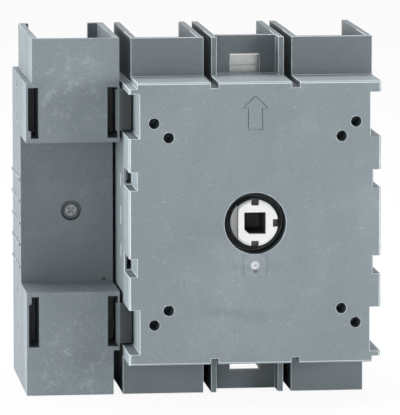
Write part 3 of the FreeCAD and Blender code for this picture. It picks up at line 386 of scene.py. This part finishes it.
def coupler_plastic(name, colour):
    """Smooth white plastic with faint marks of handling, and painted shade, near black, in its notches and
    deeper in from its front.
    """
    finish = Finish(name, IOR=1.46, Subsurface_Weight=0.06, Subsurface_Radius=(0.002, 0.002, 0.0015))
    cloud = finish.noise(260.0, 4.0)
    marks = finish.between(finish.noise(1.0, 3.0, finish.stretched((900.0, 200.0, 260.0))), 0.60, 0.72)
    base = finish.mix(cloud, rgba(colour, 0.95), rgba(colour, 1.04))
    base = finish.mix(marks * 0.25, base, rgba((0.62, 0.62, 0.58)))
    # Painted shade: near black in the notches of the front, and deeper into the socket and along the barrel
    across, depth = finish.parts()[:2]
    notches = finish.between(depth, 0.0008, 0.0026) * finish.between(across, -0.00475, -0.00455) * 0.82
    base = finish.mix(notches, base, rgba((0.05, 0.052, 0.048)))
    base = finish.mix(finish.between(depth, 0.0012, 0.008) * 0.95, base, rgba((0.045, 0.05, 0.045)))
    finish.give(Base_Color=base, Roughness=0.34 + 0.14 * cloud + 0.1 * marks,
                Normal=finish.bump(finish.noise(2200.0, 2.0) + marks, 0.000012, 0.6))
    return finish.material


# Modelling helpers


def alone(piece):
    """Makes a piece the only selected and active object."""
    bpy.ops.object.select_all(action="DESELECT")
    piece.select_set(True)
    bpy.context.view_layer.objects.active = piece


def node_copy(node, name):
    """A copy of a solid with its facets merged into whole faces."""
    mesh = NODES[node].data.copy()
    piece = bpy.data.objects.new(name, mesh)
    bpy.context.scene.collection.objects.link(piece)
    alone(piece)
    bpy.ops.object.mode_set(mode="EDIT")
    bpy.ops.mesh.select_all(action="SELECT")
    bpy.ops.mesh.remove_doubles(threshold=0.000002)
    bpy.ops.mesh.dissolve_limited(angle_limit=math.radians(0.6))
    bpy.ops.object.mode_set(mode="OBJECT")
    return piece


def apply_all(piece):
    """Applies a piece's modifiers in their order."""
    alone(piece)
    for modifier in list(piece.modifiers):
        bpy.ops.object.modifier_apply(modifier=modifier.name)


def soften(piece, width, segments=2):
    """Rounds a piece's edges, marks the rounding for the finish and keeps its flat faces flat in shade."""
    mesh = piece.data
    mesh.materials.clear()
    mesh.materials.append(None)
    mesh.materials.append(None)
    mesh.polygons.foreach_set("material_index", [0] * len(mesh.polygons))
    bevel = piece.modifiers.new("edges", "BEVEL")
    bevel.width = width
    bevel.segments = segments
    bevel.limit_method = "ANGLE"
    bevel.angle_limit = math.radians(35)
    bevel.material = 1
    apply_all(piece)
    rounded = [float(face.material_index) for face in mesh.polygons]
    mesh.attributes.new("rim", "FLOAT", "FACE").data.foreach_set("value", rounded)
    mesh.polygons.foreach_set("material_index", [0] * len(mesh.polygons))
    smooth(piece)


def smooth(piece):
    """Shades the rounding smoothly and keeps the flat faces flat."""
    alone(piece)
    bpy.ops.object.shade_smooth_by_angle(angle=SHADE_ANGLE)
    flat = piece.modifiers.new("flat", "WEIGHTED_NORMAL")
    flat.keep_sharp = True
    apply_all(piece)


def carve(piece, *tools, operation="DIFFERENCE"):
    """Takes the tools' shapes out of a piece, or joins them to it."""
    for tool in tools:
        change = piece.modifiers.new("carve", "BOOLEAN")
        change.operation = operation
        change.solver = "EXACT"
        change.object = tool
        apply_all(piece)
        bpy.data.objects.remove(tool)


def paint(piece, material):
    """Leaves a piece with this one material."""
    piece.data.materials.clear()
    piece.data.materials.append(material)


def settle(piece, node, material):
    """The piece stands for a node, in its body, with its finish."""
    paint(piece, material)
    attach(piece, BODY_OF[node])
    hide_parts(node)


def finish_node(node, material):
    """Gives a solid that stays as it is its finish."""
    NODES[node].data.materials.clear()
    NODES[node].data.materials.append(material)


def turned(name, stations, x, z, steps=32):
    """A turned form along Y through (distance, radius) stations, closed at both ends."""
    start, wide = stations[0]
    bpy.ops.object.select_all(action="DESELECT")
    bpy.ops.mesh.primitive_circle_add(vertices=steps, radius=wide * MM, fill_type="NGON",
                                      location=(x * MM, start * MM, z * MM),
                                      rotation=(math.radians(90), 0.0, 0.0))
    piece = bpy.context.active_object
    piece.name = name
    piece.data.name = name
    bpy.ops.object.transform_apply(location=True, rotation=True, scale=True)
    bpy.ops.object.mode_set(mode="EDIT")
    bpy.ops.mesh.select_all(action="SELECT")
    for at, radius in stations[1:]:
        bpy.ops.mesh.extrude_region_move(TRANSFORM_OT_translate={"value": (0.0, (at - start) * MM, 0.0)})
        bpy.ops.transform.resize(value=(radius / wide, 1.0, radius / wide),
                                 center_override=(x * MM, at * MM, z * MM))
        start, wide = at, radius
    bpy.ops.mesh.select_all(action="SELECT")
    bpy.ops.mesh.normals_make_consistent(inside=False)
    bpy.ops.object.mode_set(mode="OBJECT")
    return piece


def hexagon_cutter(x, z, width, front, back):
    """Hexagonal bar along Y, used to cut a screw's socket."""
    bpy.ops.object.select_all(action="DESELECT")
    bpy.ops.mesh.primitive_cylinder_add(vertices=6, radius=width / math.sqrt(3) * MM,
                                        depth=(back - front) * MM,
                                        location=(x * MM, (front + back) / 2 * MM, z * MM),
                                        rotation=(math.radians(90), 0.0, 0.0))
    cutter = bpy.context.active_object
    bpy.ops.object.transform_apply(location=True, rotation=True, scale=True)
    return cutter


def ring_cutter(x, z, outer, inner, front, back):
    """Tube along Y, used to cut an annular groove."""
    tube = turned("ring", [(front, outer), (back, outer)], x, z, 40)
    if inner:
        carve(tube, turned("core", [(front - 1, inner), (back + 1, inner)], x, z, 40))
    return tube


def block(low, high):
    """Block between two corners given in millimetres."""
    bpy.ops.object.select_all(action="DESELECT")
    middle = [(a + b) / 2 * MM for a, b in zip(low, high)]
    spans = [(b - a) * MM for a, b in zip(low, high)]
    bpy.ops.mesh.primitive_cube_add(size=1.0, location=middle)
    cutter = bpy.context.active_object
    cutter.scale = spans
    bpy.ops.object.transform_apply(location=True, rotation=True, scale=True)
    return cutter


def copy_piece(piece, name, shift):
    """A copy with its own mesh, moved by a vector in metres."""
    mesh = piece.data.copy()
    mesh.transform(Matrix.Translation(shift))
    twin = bpy.data.objects.new(name, mesh)
    bpy.context.scene.collection.objects.link(twin)
    return twin


def arrow_solid(sizes, inset):
    """Upright arrow, a block with a three-sided prism on it, every edge moved inwards by the inset."""
    half_stem = STEM_HALF_WIDTH - inset
    half_head = HEAD_HALF_WIDTH - HEAD_INSET * inset
    foot = sizes.arrow_foot / MM + inset
    neck = sizes.arrow_neck / MM + inset
    tip = sizes.arrow_tip / MM - TIP_INSET * inset
    bottom = sizes.arrow_depth / MM + inset
    bpy.ops.object.select_all(action="DESELECT")
    bpy.ops.mesh.primitive_cylinder_add(vertices=3, radius=MM, depth=(bottom + 1) * MM,
                                        rotation=(math.radians(90), 0.0, 0.0),
                                        location=(0.0, (bottom - 1) / 2 * MM, (neck + (tip - neck) / 3) * MM))
    arrow = bpy.context.active_object
    arrow.scale = (half_head / math.sin(math.radians(60)), (tip - neck) / 1.5, 1.0)
    bpy.ops.object.transform_apply(location=True, rotation=True, scale=True)
    carve(arrow, block((-half_stem, -1, foot), (half_stem, bottom, neck + 0.1)), operation="UNION")
    return arrow


def arrow_cutter(sizes):
    """Outline of the arrow, as deep as it is moulded."""
    outline = arrow_solid(sizes, 0.0)
    carve(outline, arrow_solid(sizes, sizes.arrow_line / MM))
    return outline


def pick(piece, kind, wanted):
    """Enters edit mode with the corners, edges or faces whose middle is wanted selected."""
    alone(piece)
    bpy.ops.object.mode_set(mode="EDIT")
    bpy.ops.mesh.select_mode(type=kind)
    bpy.ops.mesh.select_all(action="DESELECT")
    shape = bmesh.from_edit_mesh(piece.data)
    for item in {"VERT": shape.verts, "EDGE": shape.edges, "FACE": shape.faces}[kind]:
        middle = item.co if kind == "VERT" else sum((v.co for v in item.verts), Vector()) / len(item.verts)
        item.select_set(wanted(middle))
    shape.select_flush_mode()
    bmesh.update_edit_mesh(piece.data)


class SWITCH_OT_housings(bpy.types.Operator):
    """Rounds the edges of the four housing halves and sinks the arrow into the cover"""

    bl_idname = "switch.housings"
    bl_label = "Housings"

    def execute(self, context):
        sizes = context.scene.switch_cover
        finish = context.scene.switch_finish
        grey = moulded_plastic("housing grey", finish.housing, finish.housing_worn, finish.grain)
        for node in ("front_housing", "rear_housing",
                     "fourth_pole_front_housing", "fourth_pole_rear_housing"):
            piece = node_copy(node, node.replace("housing", "shell"))
            if "rear" in node:
                self.level_tops(piece, node)
            if node == "fourth_pole_front_housing":
                carve(piece, *self.slot_lips(), operation="UNION")
            soften(piece, sizes.edge)
            if node == "front_housing":
                carve(piece, arrow_cutter(sizes), *self.pin_outline())
                smooth(piece)
            if node == "fourth_pole_front_housing":
                carve(piece, ring_cutter(*MODULE_SCREW, *RING_RADII, 37.0, 40.1),
                      ring_cutter(*DIMPLE, DIMPLE_RADIUS, 0.0, 37.0, 39.4))
                smooth(piece)
            settle(piece, node, grey)
        return {"FINISHED"}

    def level_tops(self, piece, node):
        """Brings the ends of a rear half level with the front half's."""
        for side, end, goal in zip((-1, 1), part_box(node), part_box("front_housing")):
            pick(piece, "FACE", lambda place: side * (place.z - end.z) > -0.00001)
            bpy.ops.transform.translate(value=(0.0, 0.0, goal.z - end.z))
            bpy.ops.object.mode_set(mode="OBJECT")

    def pin_outline(self):
        """Four shallow grooves around the bearing pin, the mark of a mould insert."""
        end = INSERT_REACH + 0.1
        for at in (INSERT_REACH, -INSERT_REACH):
            low, high = at - INSERT_LINE, at + INSERT_LINE
            yield block((-end, -0.5, PIN_Z + low), (end, 0.09, PIN_Z + high))
            yield block((low, -0.5, PIN_Z - end), (high, 0.09, PIN_Z + end))

    def slot_lips(self):
        """Lips over the hook slots and a tab in each left slot."""
        for side in ENDS.values():
            bottom, top = sorted(side * height for height in LIP_HEIGHTS)
            for left, right in LIP_SPANS:
                yield block((left, 17.72, bottom), (right, 18.4, top))
            bottom, top = sorted(side * height for height in TAB_HEIGHTS)
            yield block((TAB_SPAN[0], 17.9, bottom), (TAB_SPAN[1], 19.4, top))


class SWITCH_OT_coupler(bpy.types.Operator):
    """Gives the white shaft coupler soft edges and its smooth finish"""

    bl_idname = "switch.coupler"
    bl_label = "Shaft coupler"

    def execute(self, context):
        white = coupler_plastic("coupler white", context.scene.switch_finish.coupler)
        piece = node_copy("shaft_coupler", "white_coupler")
        soften(piece, FINE_EDGE, 3)
        settle(piece, "shaft_coupler", white)
        return {"FINISHED"}


class SWITCH_OT_mechanism(bpy.types.Operator):
    """Finishes the gears, rotor, spring and cover inside the housings"""

    bl_idname = "switch.mechanism"
    bl_label = "Mechanism"

    def execute(self, context):
        plating = context.scene.switch_finish.plating
        dark = rotor_plastic("rotor black", (0.035, 0.036, 0.038))
        pale = rotor_plastic("gear grey", (0.10, 0.10, 0.105))
        steel = plated_metal("spring steel", (0.42, 0.42, 0.43), 0.3)
        silver = plated_metal("silver plate", plating, 0.2)
        for node in ("contact_cover", "rotor_pole_1", "rotor_pole_2", "rotor_pole_3", "rotor_pole_4"):
            finish_node(node, dark)
        for node in ("drive_gear", "rotor_gear"):
            finish_node(node, pale)
        for node in ("snap_spring", "rotor_shaft", "coupling_shaft"):
            finish_node(node, steel)
        for pole in POLE_X:
            finish_node(f"moving_contact_{pole}", silver)
        return {"FINISHED"}


class SWITCH_OT_terminals(bpy.types.Operator):
    """Makes the clamps, their threaded screws and the fixed contacts"""

    bl_idname = "switch.terminals"
    bl_label = "Terminals"

    def execute(self, context):
        plating = context.scene.switch_finish.plating
        thread = context.scene.switch_thread
        bright = plated_metal("clamp plate", rgba(plating, 0.72)[:3], 0.22)
        screw_plate = plated_metal("screw plate", (0.60, 0.61, 0.62), 0.28)
        silver = plated_metal("contact silver", (0.80, 0.79, 0.76), 0.25)
        screw = self.screw_pattern(thread)
        for end, side in ENDS.items():
            for pole, x in POLE_X.items():
                shift = Vector((x * MM, 0.0, (side - 1) * SCREW_Z * MM))
                twin = copy_piece(screw, f"{end}_screw_{pole}", shift)
                settle(twin, f"{end}_clamp_screw_{pole}", screw_plate)
                cage = node_copy(f"{end}_clamp_{pole}", f"{end}_cage_{pole}")
                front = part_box(f"{end}_clamp_{pole}")[0].y / MM
                carve(cage, *(block((x - 6.0, front - 1, side * z - 0.1),
                                    (x + 6.0, front + GROOVE_DEPTH, side * z + 0.1)) for z in CLAMP_GROOVES))
                soften(cage, 0.00022)
                settle(cage, f"{end}_clamp_{pole}", bright)
                bar = node_copy(f"{end}_fixed_contact_{pole}", f"{end}_bar_{pole}")
                soften(bar, FINE_EDGE)
                settle(bar, f"{end}_fixed_contact_{pole}", silver)
        bpy.data.objects.remove(screw)
        return {"FINISHED"}

    def screw_pattern(self, thread):
        """A clamp screw of the upper middle pole, with ridges for its thread and a hexagon socket."""
        pitch = thread.pitch / MM
        crest = (SCREW_HIGH.x - SCREW_LOW.x) / 2 / MM
        root = crest - thread.depth / MM
        top = SCREW_HIGH.y / MM
        at = SCREW_LOW.y / MM
        stations = [(at, root)]
        at += 0.5
        while at + pitch < top - 0.5:
            for share, radius in ((0.0, crest), (0.25, crest), (0.5, root), (0.7, root)):
                stations.append((at + share * pitch, radius))
            at += pitch
        stations += [(top - 0.5, crest), (top, crest - 0.45)]
        screw = turned("screw_pattern", stations, 0.0, SCREW_Z, 40)
        carve(screw, hexagon_cutter(0.0, SCREW_Z, thread.socket / MM, top - 4.0, top + 1.0))
        alone(screw)
        bpy.ops.object.shade_smooth_by_angle(angle=math.radians(38))
        return screw


class SWITCH_OT_small_parts(bpy.types.Operator):
    """Makes the bright pin, the screws of the housings and the coupling clips"""

    bl_idname = "switch.small_parts"
    bl_label = "Small parts"

    def execute(self, context):
        finish = context.scene.switch_finish
        steel = plated_metal("small steel", (0.24, 0.25, 0.26), 0.45)
        pin = plated_metal("pin steel", (0.56, 0.57, 0.58), 0.5)
        clip = moulded_plastic("clip grey", finish.housing, finish.housing_worn, finish.grain, 0.3, painted_shade=0.8)
        slots = {"bearing_pin": (0.0, 0.2, PIN_Z, 0.22, 1.1, 0.5),
                 "fourth_pole_screw": (MODULE_SCREW[0], 38.4, MODULE_SCREW[1], 0.55, 2.3, 1.2)}
        for node in ("bearing_pin", "fourth_pole_screw", "housing_screws"):
            piece = node_copy(node, node + "_bright")
            if node in slots:
                self.cut_cross(piece, *slots[node])
            soften(piece, 0.00012)
            settle(piece, node, pin if node == "bearing_pin" else steel)
        for node in ("upper_coupling_clip", "lower_coupling_clip"):
            piece = node_copy(node, node.replace("coupling", "grey"))
            soften(piece, FINE_EDGE)
            settle(piece, node, clip)
        return {"FINISHED"}

    def cut_cross(self, piece, x, front, z, wide, long, deep):
        """Cuts a cross recess, turned 45 degrees, into a screw's or pin's end."""
        for turn in (45, -45):
            bar = block((x - long / 2, front - 1, z - wide / 2), (x + long / 2, front + deep, z + wide / 2))
            alone(bar)
            bpy.ops.transform.rotate(value=math.radians(turn), orient_axis="Y",
                                     center_override=(x * MM, 0.0, z * MM))
            bpy.ops.object.transform_apply(location=True, rotation=True, scale=True)
            carve(piece, bar)


class SWITCH_OT_stage(bpy.types.Operator):
    """Sets up the pale floor, the soft lights and the camera"""

    bl_idname = "switch.stage"
    bl_label = "Stage"

    def execute(self, context):
        floor_finish = Finish("pale floor", Roughness=0.9)
        paper = floor_finish.noise(14.0, 3.0)
        floor_finish.give(Base_Color=floor_finish.mix(paper, rgba(WHITE, 0.84), rgba(WHITE, 0.88)))
        lit = Shade(floor_finish, floor_finish.shader.outputs[0])
        glow = floor_finish.make("ShaderNodeEmission", {}, {"Color": WHITE, "Strength": 1.0})
        seen = floor_finish.make("ShaderNodeLightPath", {}, {}, "Is Camera Ray")
        shown = floor_finish.make("ShaderNodeMixShader", {}, {0: seen * 0.93, 1: lit, 2: glow})
        floor_finish.feed(floor_finish.tree.nodes["Material Output"].inputs["Surface"], shown)
        bpy.ops.object.select_all(action="DESELECT")
        bpy.ops.mesh.primitive_plane_add(size=6.0, location=(0.0, 1.5, CAD_BOX[0][2] - 0.0002))
        floor = context.active_object
        floor.name = "floor"
        bpy.ops.object.transform_apply(location=True, rotation=True, scale=True)
        floor.data.materials.append(floor_finish.material)
        self.set_world(context)
        centre = Vector((-0.0135, 0.03, 0.0))
        self.add_lamp("right", centre, (0.85, -0.60, 0.02), 0.7, 11.5)
        self.add_lamp("front", centre, (-0.35, -0.95, -0.15), 0.8, 5.4)
        self.add_lamp("top", centre, (0.05, 0.25, 0.95), 0.8, 9.5)
        self.add_lamp("left", centre, (-0.98, 0.05, 0.10), 0.6, 15.0)
        self.add_camera(context)
        context.scene.view_settings.view_transform = "Standard"
        return {"FINISHED"}

    def set_world(self, context):
        """A faint sky for the light, white to the camera and in mirrored rays."""
        world = bpy.data.worlds.new("studio")
        world.use_nodes = True
        context.scene.world = world
        world.node_tree.nodes.clear()
        sky = Nodes(world.node_tree)
        seen = sky.make("ShaderNodeLightPath", {}, {}, "Is Camera Ray")
        mirrored = sky.make("ShaderNodeLightPath", {}, {}, "Is Glossy Ray")
        either = seen.maths("MAXIMUM", seen, mirrored)
        light = sky.make("ShaderNodeBackground", {}, {"Color": (0.92, 0.96, 1.0, 1.0), "Strength": 0.10})
        white = sky.make("ShaderNodeBackground", {}, {"Color": WHITE})
        shown = sky.make("ShaderNodeMixShader", {}, {0: either, 1: light, 2: white})
        sky.make("ShaderNodeOutputWorld", {}, {"Surface": shown})

    def add_lamp(self, name, centre, offset, size, power):
        """A round lamp that looks at the centre from an offset in metres."""
        lamp = bpy.data.lights.new(name, "AREA")
        lamp.shape = "DISK"
        lamp.size = size
        lamp.energy = power
        lamp_object = bpy.data.objects.new(name, lamp)
        bpy.context.scene.collection.objects.link(lamp_object)
        lamp_object.location = centre + Vector(offset)
        lamp_object.rotation_euler = (-Vector(offset)).to_track_quat("-Z", "Y").to_euler()

    def add_camera(self, context):
        """The photograph's view of the switch."""
        stage = context.scene.switch_stage
        turn, height = stage.yaw, stage.pitch
        level = math.cos(height)
        back = Vector((-math.sin(turn) * level, -math.cos(turn) * level, math.sin(height)))
        camera = bpy.data.cameras.new("camera")
        camera.lens = stage.lens
        camera.sensor_width = 36.0
        camera.clip_end = 50.0
        camera_object = bpy.data.objects.new("camera", camera)
        context.scene.collection.objects.link(camera_object)
        camera_object.location = Vector((-0.01536, 0.0, 0.00466)) + back * stage.distance
        camera_object.rotation_euler = (-back).to_track_quat("-Z", "Y").to_euler()
        context.scene.camera = camera_object


class SWITCH_PT_sidebar(bpy.types.Panel):
    """Lists the pieces of the switch and their settings"""

    bl_label = "Switch disconnector"
    bl_idname = "SWITCH_PT_sidebar"
    bl_space_type = "VIEW_3D"
    bl_region_type = "UI"
    bl_category = "Switch"

    def draw(self, context):
        for group in (context.scene.switch_finish, context.scene.switch_cover,
                      context.scene.switch_thread, context.scene.switch_stage):
            box = self.layout.box()
            for setting in group.bl_rna.properties.keys():
                if setting not in ("rna_type", "name"):
                    box.prop(group, setting)
        for operator in OPERATORS:
            self.layout.operator(operator.bl_idname)


OPERATORS = (SWITCH_OT_housings, SWITCH_OT_coupler, SWITCH_OT_mechanism, SWITCH_OT_terminals,
             SWITCH_OT_small_parts, SWITCH_OT_stage)
SETTINGS = {"switch_finish": FinishSettings, "switch_cover": CoverSettings,
            "switch_thread": ThreadSettings, "switch_stage": StageSettings}


def register():
    for group in SETTINGS.values():
        bpy.utils.register_class(group)
    for name, group in SETTINGS.items():
        setattr(bpy.types.Scene, name, bpy.props.PointerProperty(type=group))
    for operator in OPERATORS:
        bpy.utils.register_class(operator)
    bpy.utils.register_class(SWITCH_PT_sidebar)


def unregister():
    bpy.utils.unregister_class(SWITCH_PT_sidebar)
    for operator in reversed(OPERATORS):
        bpy.utils.unregister_class(operator)
    for name in SETTINGS:
        delattr(bpy.types.Scene, name)
    for group in reversed(list(SETTINGS.values())):
        bpy.utils.unregister_class(group)


def main():
    register()
    bpy.ops.switch.housings()
    bpy.ops.switch.coupler()
    bpy.ops.switch.mechanism()
    bpy.ops.switch.terminals()
    bpy.ops.switch.small_parts()
    bpy.ops.switch.stage()


if __name__ == "__main__":
    main()
